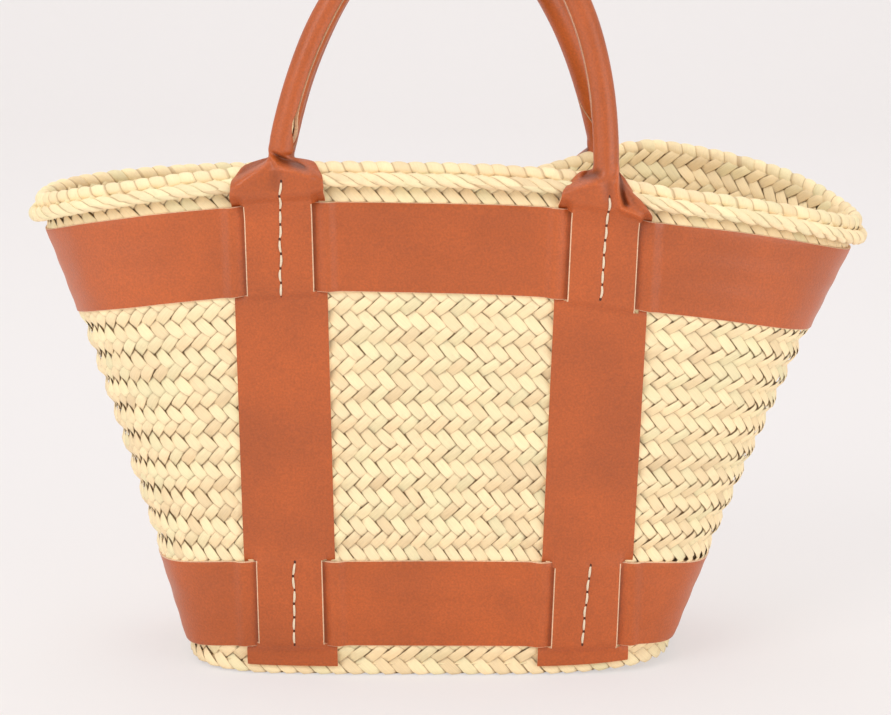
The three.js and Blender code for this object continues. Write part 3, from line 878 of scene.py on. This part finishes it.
def creases(strap, side, a, d):
    """Ridges and pockets of a shoulder, in millimetres outwards, at a distance across and a depth.

    On the left strap a ridge runs from the handle down to each side, with a deep pocket over the right
    one. On the right strap a strong ridge drops straight down beside the handle. The back, seen from
    behind, has the same two."""
    a = a * (1 if side == FRONT else -1)
    if strap["mirrored"] != (side == FRONT):
        return (2.0 * ridge(a, d, (-6, -4), (-25, 9.5), 2.7) - 1.6 * ridge(a, d, (-13, -5), (-26, 2), 2.6)
                + 2.2 * np.maximum(ridge(a, d, (-2, -7), (0, 0.5), 1.7), ridge(a, d, (0, 0.5), (20, 7), 1.9))
                - 4.0 * ridge(a, d, (6, -3.5), (16, 0), 2.9) - 1.2 * ridge(a, d, (-2, 5), (-1, 11), 4.0))
    return (1.9 * ridge(a, d, (-7, 3.5), (-23, 9), 2.2) - 2.8 * ridge(a, d, (-8, -2), (-19, 1), 2.8)
            + 3.0 * np.maximum(ridge(a, d, (9, -6), (9, 16), 1.9), ridge(a, d, (9, 16), (22, 19.5), 1.9))
            - 4.0 * ridge(a, d, (13, -1), (13, 13), 2.5) - 1.6 * ridge(a, d, (17, 3), (20, 10), 3.5)
            - 1.2 * ridge(a, d, (1, 4), (1, 11), 3.5))


def stitch_line(strap, share):
    """How far the row of stitches wanders from the strap's middle, at a share of the wall's height."""
    low, high = strap["stitches"]
    return np.where(share > 0.5, mix(high[0], high[1], np.clip((share - 0.75) / 0.2, 0, 1)),
                    mix(low[0], low[1], np.clip((share - 0.06) / 0.17, 0, 1)))


def strap_rows(strap, side, columns):
    """Outer face of one strap from its foot to just over the rim, as rows of points.

    Each row has a depth under the rim. Far down the sheet lies on the wall, with the tongue raised over
    the belts. Near the rim it follows roll_section, whose turning grows from 0 to a full roll."""
    total = float(rim_height(angle_at(strap["roots"][side], 1.0, side)))
    low = np.concatenate([np.linspace(0.02, 0.075, 8), np.linspace(0.08, 0.225, 22),
                          np.linspace(0.235, 0.72, 34), np.linspace(0.73, 0.90, 24)])
    depth = np.concatenate([total * (1 - low), np.linspace(32, 20, 12), np.linspace(19, -11, 46)])
    d, a = depth[:, None], columns[None]
    share = 1 - d / total
    height = np.clip(share, 0.0, 0.999)
    angle = angle_at(strap_middle(strap, height) + a, height, side)
    height = np.clip(below(angle, np.maximum(d, 0.5)), 0.005, 0.999)
    height = np.where(share < 0.6, np.clip(share, 0.005, 1), height)
    angle = angle_at(strap_middle(strap, height) + a, height, side)
    raised = 0
    for belt in (LOWER_BELT, UPPER_BELT):
        away = np.abs((height - belt) * belt_rise(angle, belt) - belt_drift(angle, belt))
        raised = raised + (1 - ease(BELT_WIDTH / 2 - 1.0, BELT_WIDTH / 2 + 3.5, away))
    tongue = 1 - ease(TONGUE_WIDTH / 2 + 1.0, TONGUE_WIDTH / 2 + 2.8, np.abs(a))
    on_rope = ease(22 + 12 * tongue, 11, d)
    pressed = raised * (1 - tongue) * MARGIN_SINK * LEVEL
    flat_offset = mix(GAP + LEATHER + raised * tongue * LEVEL - pressed, OVER_ROPE + LEATHER, on_rope)
    soft = 0.45 * slow_noise(d / 24, a / 30, 40 + int(strap["foot"]) % 7) * (1 - on_rope)
    near_stitch = np.exp(-(((a - stitch_line(strap, share)) / 1.7) ** 2))
    sewn = ease(0.055, 0.065, share) * ease(0.24, 0.23, share) + ease(0.745, 0.755, share) * ease(-12, 12, d)
    flat = wall(angle, height, flat_offset + soft - 0.45 * near_stitch * np.clip(sewn, 0, 1))

    # The shoulder, in the frame of the strap's head.
    front = side == FRONT
    origin, out, along = head_frame(strap, side)
    shoulder = strap if front else BACK_SHOULDER
    reached = depth - shoulder["early"]
    levels = np.array([-11.0, -6.0, -4.5, -2.6, 0.0, 2.5, 5.0, 10.0, 13.0, 18.0, 24.0])
    turning = np.interp(reached, levels, [6.14, 6.14, 6.05, 5.6, 4.5, 3.5, 2.4, 0.7, 0.3, 0.1, 0.0])
    flat_share = np.interp(reached, levels, [0, 0, 0.02, 0.12, 0.28, 0.38, 0.50, 0.80, 0.86, 0.9, 0.95])
    x, y = roll_section(turning, flat_share, columns)
    back = np.interp(depth, [-11, -4, 2, 8, 19], [9.4, 10.4, 12.2, 12.9, 12.8])[:, None]
    x = x * (1 - 0.05 * ease(14, 8, d) * ease(-4, 3, d))
    x = x * (1 + np.where(a < 0, *shoulder["wider"]) * ease(-7, 3, d) * ease(shoulder["reach"], 3, d))
    follow = ease(-4, 4, d) if front else ease(-10, 0, d)
    lift = 3.4 * ease(7.5, 12.5, -y) * ease(8, 2, d) * front
    beside = skin(angle_at(strap["roots"][side] + x, 1.0, side), 1.0) - origin
    drift = (strap["head"] - strap["roots"][side]) * ease(0, 18, d)
    rolled = origin + along * (x + drift)[..., None] + out * (back + y + (beside @ out) * follow)[..., None]
    rolled[..., 2] += beside[..., 2] * follow + lift - d
    crease = creases(strap, side, a, d) * ease(-10, -6, d) * ease(24, 20, d)
    joined = mix(flat, rolled, ease(24, 13, d)[..., None]) + out * crease[..., None]
    return joined, depth, raised, crease


def leather_strip(side):
    """One strip from the foot of the left strap over the arch to the foot of the right strap.

    Rows of the tube are circles round the arch; the sheet's middle faces the front at the roots and turns
    so that the seam comes to the inside of the arch."""
    columns = sheet_columns()
    left, depth, raised_left, crease_left = strap_rows(STRAPS["left"], side, columns)
    right, _, raised_right, crease_right = strap_rows(STRAPS["right"], side, columns)
    # The inside of the arch is +columns on the left strap and -columns on the right one.
    steps = np.concatenate([np.linspace(0, 0.1, 16), np.linspace(0.11, 0.89, 80), np.linspace(0.9, 1, 16)])
    centre, tangent = handle_axis(side, steps)
    front = np.array([0.0, side * math.cos(HANDLE_LEAN), math.sin(HANDLE_LEAN)])
    ends = [head_frame(strap, side)[1] for strap in STRAPS.values()]
    face = ends[0] + (ends[1] - ends[0]) * steps[:, None]
    face = mix(face, front[None], ease(0, 0.25, np.minimum(steps, 1 - steps))[:, None])
    face = unit(face - (face * tangent).sum(1, keepdims=True) * tangent)
    inward = unit(np.cross(face, tangent) * side)
    run = np.minimum(steps, 1 - steps) * HANDLE_RUN
    on_left = 1 - ease(0.25, 0.75, steps)
    on_front = on_left * (side == FRONT)
    turned = ease(-6 - 8 * on_left - 3 * on_front, 34 - 14 * on_left - 4 * on_front, run)
    twist = -(1.95 + 0.45 * on_left) * turned
    open_half = SEAM_HALF + 0.5 * on_front * ease(22, 2, run)
    share = columns / (STRAP_WIDTH / 2)
    phi = share[None] * (np.pi - open_half[:, None]) + twist[:, None]
    radius = HANDLE_RADIUS + 0.25 * slow_noise(steps * 30, 0 * steps, 77)[:, None]
    tube = centre[:, None] + radius[..., None] * (
        np.cos(phi)[..., None] * face[:, None] + np.sin(phi)[..., None] * inward[:, None])

    def tube_below(at, down, level):
        """The tube carried on below one of its roots, so that the shoulder can run into it."""
        phi = share[None] * (np.pi - open_half[at]) + twist[at]
        ring = HANDLE_RADIUS * (np.cos(phi)[..., None] * face[at] + np.sin(phi)[..., None] * inward[at])
        return centre[at] + down * (ROOT_RISE + level)[:, None, None] + ring

    take = ease(3.0, -9.5, depth)[:, None, None]
    left = mix(left, tube_below(0, -tangent[0], depth), take)
    right = mix(right[:, ::-1], tube_below(-1, tangent[-1], depth), take)
    left = left + ends[0] * take * crease_left[..., None]
    right = right + ends[1] * take * crease_right[:, ::-1, None]
    grid = np.concatenate([left, tube[1:-1], right[::-1]])
    smooth = np.zeros((len(tube) - 2, len(columns)))
    raised = np.concatenate([raised_left, smooth, raised_right[::-1, ::-1]])
    crease = np.concatenate([crease_left, smooth, crease_right[::-1, ::-1]])
    return grid, raised, crease, columns


def make_leather_strip(name, side):
    """One strip as a piece. Where the tongues rise over a belt, the slits' columns are left out and a
    narrow raw line follows both cut edges."""
    grid, raised, crease, columns = leather_strip(side)
    beyond = np.abs(columns[:-1] + columns[1:]) / 2 - TONGUE_WIDTH / 2 - TONGUE_MORE
    over_belt = raised[:-1, :-1] > FULLY_RAISED
    slits = over_belt & (beyond > 0) & (beyond < SLIT_WIDTH - TONGUE_MORE)
    raw = over_belt & (np.abs(beyond + RAW_LINE / 2) < 0.1)
    faces = grid_faces(len(grid), len(columns))[~slits.ravel()]
    used = np.unique(faces)
    number = np.full(len(grid) * len(columns), -1)
    number[used] = np.arange(len(used))
    leather = leather_and_edge("Strap leather", bpy.context.scene.tote_leather.strap)
    # The creases also go into the colour: painted highlight on their ridges, painted shade in their pockets.
    piece = make_piece(name, grid.reshape(-1, 3)[used], number[faces], leather,
                       values={"painted_light_and_shade": crease.ravel()[used] / 3})
    piece.data.polygons.foreach_set("material_index", raw[~slits].astype(np.int32))
    piece.data.update()
    if side == BACK:
        piece.data.flip_normals()
    thicken(piece, LEATHER, 0.45)
    return piece


class TOTE_OT_straps(Operator):
    """Two leather strips: each makes two slotted straps and the rolled handle between them"""
    bl_idname = "tote.straps"
    bl_label = "Straps and handles"

    def execute(self, context):
        for label, side in SIDES.items():
            piece = make_leather_strip(f"strip_{label}", side)
            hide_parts(f"strap_{label}_left", f"strap_{label}_right", f"handle_{label}")
            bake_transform(piece)
        return {"FINISHED"}


class TOTE_OT_cores(Operator):
    """Cord core inside each rolled handle"""
    bl_idname = "tote.cores"
    bl_label = "Handle cores"

    def execute(self, context):
        steps = np.linspace(0.004, 0.996, 150)
        turn = np.linspace(0, 2 * np.pi, 30, endpoint=False)
        lobes = 1 - 0.09 * np.abs(np.sin(1.5 * (turn[None] + steps[:, None] * 90))) ** 3
        taper = ease(0, 0.008, np.minimum(steps, 1 - steps) - 0.0035)[:, None]
        radius = (HANDLE_RADIUS - LEATHER - 0.35) * lobes * taper
        flat = np.zeros((len(steps), len(turn)))
        uv = np.stack([steps[:, None] * HANDLE_RUN + flat, turn[None] * 6 + flat], -1)
        values = {"tone": flat + 0.5, "tint": flat + 0.2, "edge": flat}
        faces = grid_faces(len(steps), len(turn), closed_columns=True)
        for label, side in SIDES.items():
            centre, tangent = handle_axis(side, steps)
            face = unit(np.array([0.0, side, 0.0]) - (tangent * [0, side, 0]).sum(1, keepdims=True) * tangent)
            other = np.cross(tangent, face)
            ring = np.cos(turn)[None, :, None] * face[:, None] + np.sin(turn)[None, :, None] * other[:, None]
            points = centre[:, None] + radius[..., None] * ring
            straw = [straw_material("Woven straw")]
            piece = make_piece(f"cord_core_{label}", points, faces, straw, uv, values)
            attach(piece, f"{label}_handle")
            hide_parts(f"handle_{label}_core")
        return {"FINISHED"}


def sheet_place(grid, depth, columns, d, a):
    """Points and normals of a strap's outer face at depths d and distances a across."""
    order = np.argsort(depth)
    row = np.interp(d, depth[order], order.astype(float))
    column = np.interp(a, columns, np.arange(len(columns)))

    def at(row, column):
        r = np.clip(np.floor(row).astype(int), 0, len(grid) - 2)
        c = np.clip(np.floor(column).astype(int), 0, len(columns) - 2)
        u, v = (row - r)[..., None], (column - c)[..., None]
        return ((1 - u) * (1 - v) * grid[r, c] + u * (1 - v) * grid[r + 1, c]
                + (1 - u) * v * grid[r, c + 1] + u * v * grid[r + 1, c + 1])

    sideways = at(row, column + 0.3) - at(row, column - 0.3)
    downwards = at(row + 0.3, column) - at(row - 0.3, column)
    return at(row, column), unit(np.cross(sideways, downwards))


def seam_stitches(strap, side, rng):
    """Threads and holes of one strap's two seams. A thread is a half-round rib that rises out of one
    hole and dives into the next; a hole is a small dish, painted dark as the shade in the hole."""
    columns = sheet_columns()
    grid, depth, _, _ = strap_rows(strap, side, columns)
    total = float(rim_height(angle_at(strap["roots"][side], 1.0, side)))

    def frame_at(share, line):
        """Points on the leather, outwards and across the strap."""
        point, normal = sheet_place(grid, depth, columns, total * (1 - share), line)
        beside, _ = sheet_place(grid, depth, columns, total * (1 - share), line + 0.5)
        return point, normal * -side, unit(beside - point)

    along, around = np.linspace(0, 1, 13), np.linspace(0, np.pi, 9)
    arch = np.sin(np.pi * along)
    thick = (0.35 + 0.65 * arch**0.45)[:, None]
    lift = (1.15 * arch**0.5 - 0.45)[:, None]
    t, r = np.meshgrid(np.linspace(0, 2 * np.pi, 13), np.array([0.05, 0.6, 1.0]), indexing="ij")
    threads, dishes = [], []
    for low, high in strap["seams"]:
        row = np.linspace(high, low, round((high - low) * total / STITCH_LENGTH) + 1)
        jitter = rng.normal(0, 0.22, len(row))
        for k in range(len(row) - 1):
            share = mix(row[k], row[k + 1], 0.05 + 0.9 * along)
            slack = 0.35 * arch * rng.normal()
            line = stitch_line(strap, share) + mix(jitter[k], jitter[k + 1], along) + slack
            point, normal, cross = (values[:, None] for values in frame_at(share, line))
            threads.append(point + cross * (0.78 * thick * np.cos(around))[..., None]
                           + normal * (lift + 0.62 * thick * (np.sin(around) - 0.35))[..., None])
        holes = frame_at(row, stitch_line(strap, row) + jitter)
        point, normal, cross = (values[:, None, None] for values in holes)
        dishes.extend(point + cross * (0.85 * r * np.cos(t))[None, ..., None]
                      + np.cross(normal, cross) * (1.15 * r * np.sin(t))[None, ..., None]
                      + normal * (0.10 - 0.06 * r)[None, ..., None])
    return threads, dishes


def join_grids(grids):
    """Points and faces of many equal grids as one mesh."""
    points = np.stack(grids)
    return points.reshape(-1, 3), repeated_faces(*points.shape[:3])


class TOTE_OT_stitches(Operator):
    """Rows of hand stitches that tie the straps to the belts"""
    bl_idname = "tote.stitches"
    bl_label = "Stitches"

    def execute(self, context):
        tone = np.array(context.scene.tote_leather.thread)
        thread, tree, shader = principled("Waxed thread", Roughness=0.55)
        fibre = noise(tree, object_place(tree), 1400.0)
        colour = blend_colour(tree, fibre, rgba(tone * 0.8), rgba(np.minimum(tone * 1.15, 1)))
        tree.links.new(colour, shader.inputs["Base Color"])
        # The needle holes are painted dark as the shade inside them; the noise only varies that shade.
        hole, tree, shader = principled("Needle holes", Roughness=0.8)
        hole_shade_noise = noise(tree, object_place(tree), 900.0)
        colour = blend_colour(tree, hole_shade_noise, (0.05, 0.014, 0.006, 1), (0.12, 0.03, 0.012, 1))
        tree.links.new(colour, shader.inputs["Base Color"])
        rng = np.random.default_rng(13)
        for label, side in SIDES.items():
            for key, strap in STRAPS.items():
                threads, dishes = seam_stitches(strap, side, rng)
                for name, grids, material in (("stitches", threads, thread), ("holes", dishes, hole)):
                    points, faces = join_grids(grids)
                    piece = make_piece(f"{name}_{label}_{key}", points, faces, [material])
                    if side == BACK or name == "holes":
                        piece.data.flip_normals()
                    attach(piece, "basket")
        return {"FINISHED"}


# Stage, in metres.

# The camera stands in front of the middle line, away from its aim and risen by an angle. Its focal length
# is in picture widths.
CAMERA_AWAY = 2.0
CAMERA_RISE = math.radians(12.5)
CAMERA_AIM = 0.194
CAMERA_FOCUS = 3017 / 891
# Name, place, aim, size and share of the key light's power.
LAMPS = (
    ("Key", (-1.3, -1.7, 1.9), (0, 0, 0.15), (1.5, 1.5), 1.0),
    ("Fill", (1.7, -1.6, 0.9), (0, 0, 0.2), (1.6, 1.6), 0.45),
    ("Left strip", (-1.5, -0.75, 0.24), (0, 0, 0.2), (1.3, 0.45), 0.1),
    ("Right strip", (1.5, -0.95, 0.24), (0, 0, 0.2), (1.3, 0.45), 0.14),
    ("Backdrop", (0.0, 1.6, 2.4), (0, 3.6, 0.3), (3.0, 0.8), 0.5),
    ("Top", (0.0, 0.5, 2.2), (0, 0, 0.2), (2.0, 1.6), 0.5),
)


class TOTE_OT_stage(Operator):
    """Pale floor and backdrop, soft light, and the camera"""
    bl_idname = "tote.stage"
    bl_label = "Stage"

    def execute(self, context):
        scene = context.scene
        stage = scene.tote_stage
        pale = rgba(stage.backdrop)
        constants = {"Base Color": pale, "Roughness": 0.9, "Specular IOR Level": 0.1}
        material, tree, shader = principled("Backdrop", **constants)
        seen = node(tree, "ShaderNodeLightPath").outputs["Is Camera Ray"]
        share = combine(tree, seen, 0.62)
        plain = node(tree, "ShaderNodeEmission", {"Color": pale, "Strength": 1.0})
        both = node(tree, "ShaderNodeMixShader", {0: share, 1: shader.outputs[0], 2: plain.outputs[0]})
        tree.links.new(both.outputs[0], tree.nodes["Material Output"].inputs["Surface"])
        turns, radius, far = np.linspace(0.1, math.pi / 2, 12), 0.9, 2.5
        bend = [(far + radius * math.sin(t), radius - radius * math.cos(t)) for t in turns]
        profile = [(-3.4, 0.0), (far, 0.0), *bend, (3.4, 4.0)]
        points = np.array([(x, y, z) for y, z in profile for x in (-3.5, 3.5)]) * 1000
        backdrop = make_piece("backdrop", points, grid_faces(len(profile), 2)[:, ::-1], [material])

        scene.world = scene.world or bpy.data.worlds.new("World")
        scene.world.use_nodes = True
        tree = scene.world.node_tree
        around = tree.nodes["Background"]
        around.inputs["Color"].default_value = (1, 1, 1, 1)
        around.inputs["Strength"].default_value = stage.sky
        seen = node(tree, "ShaderNodeLightPath").outputs["Is Camera Ray"]
        plain = node(tree, "ShaderNodeBackground", {"Color": pale, "Strength": 1.0})
        both = node(tree, "ShaderNodeMixShader", {0: seen, 1: around.outputs[0], 2: plain.outputs[0]})
        tree.links.new(both.outputs[0], tree.nodes["World Output"].inputs["Surface"])

        def add_object(name, data, place, aim):
            made = bpy.data.objects.new(name, data)
            made.location = place
            made.rotation_euler = pointing(place, aim)
            scene.collection.objects.link(made)
            return made

        for name, place, aim, size, power in LAMPS:
            data = bpy.data.lights.new(name, "AREA")
            data.shape = "RECTANGLE"
            data.size, data.size_y = size
            data.energy = stage.key * power
            add_object(name, data, place, aim)

        data = bpy.data.cameras.new("Camera")
        data.sensor_width = 36.0
        data.lens = CAMERA_FOCUS * data.sensor_width
        data.clip_end = 50
        level, up = CAMERA_AWAY * math.cos(CAMERA_RISE), CAMERA_AWAY * math.sin(CAMERA_RISE)
        scene.camera = add_object("Camera", data, (0.0, -level, CAMERA_AIM + up), (0, 0, CAMERA_AIM))
        scene.view_settings.view_transform = "Standard"
        return {"FINISHED"}


def pointing(place, aim):
    """Rotation that turns a lamp or camera at place towards aim, with its top up."""
    x, y, z = (aim[i] - place[i] for i in range(3))
    return math.atan2(math.hypot(x, y), -z), 0.0, math.atan2(-x, y)


class TOTE_PT_panel(Panel):
    """Lists the tote's settings and pieces"""
    bl_idname = "TOTE_PT_panel"
    bl_label = "Straw tote"
    bl_space_type = "VIEW_3D"
    bl_region_type = "UI"
    bl_category = "Straw tote"

    def draw(self, context):
        for title, settings in (("Weave", context.scene.tote_weave), ("Leather", context.scene.tote_leather),
                                ("Stage", context.scene.tote_stage)):
            box = self.layout.box()
            box.label(text=title)
            for key in settings.bl_rna.properties.keys():
                if key not in {"rna_type", "name"}:
                    box.prop(settings, key)
        for operator in OPERATORS:
            self.layout.operator(operator.bl_idname)


OPERATORS = (TOTE_OT_stage, TOTE_OT_wall, TOTE_OT_base, TOTE_OT_rim, TOTE_OT_belts, TOTE_OT_straps,
             TOTE_OT_cores, TOTE_OT_stitches)
CLASSES = (WeaveSettings, LeatherSettings, StageSettings) + OPERATORS + (TOTE_PT_panel,)


def register():
    for cls in CLASSES:
        bpy.utils.register_class(cls)
    bpy.types.Scene.tote_weave = PointerProperty(type=WeaveSettings)
    bpy.types.Scene.tote_leather = PointerProperty(type=LeatherSettings)
    bpy.types.Scene.tote_stage = PointerProperty(type=StageSettings)


def unregister():
    del bpy.types.Scene.tote_stage
    del bpy.types.Scene.tote_leather
    del bpy.types.Scene.tote_weave
    for cls in reversed(CLASSES):
        bpy.utils.unregister_class(cls)


def main():
    """Makes every piece in order."""
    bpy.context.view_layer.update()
    register()
    bpy.ops.tote.stage()
    bpy.ops.tote.wall()
    bpy.ops.tote.base()
    bpy.ops.tote.rim()
    bpy.ops.tote.belts()
    bpy.ops.tote.straps()
    bpy.ops.tote.cores()
    bpy.ops.tote.stitches()


if __name__ == "__main__":
    main()
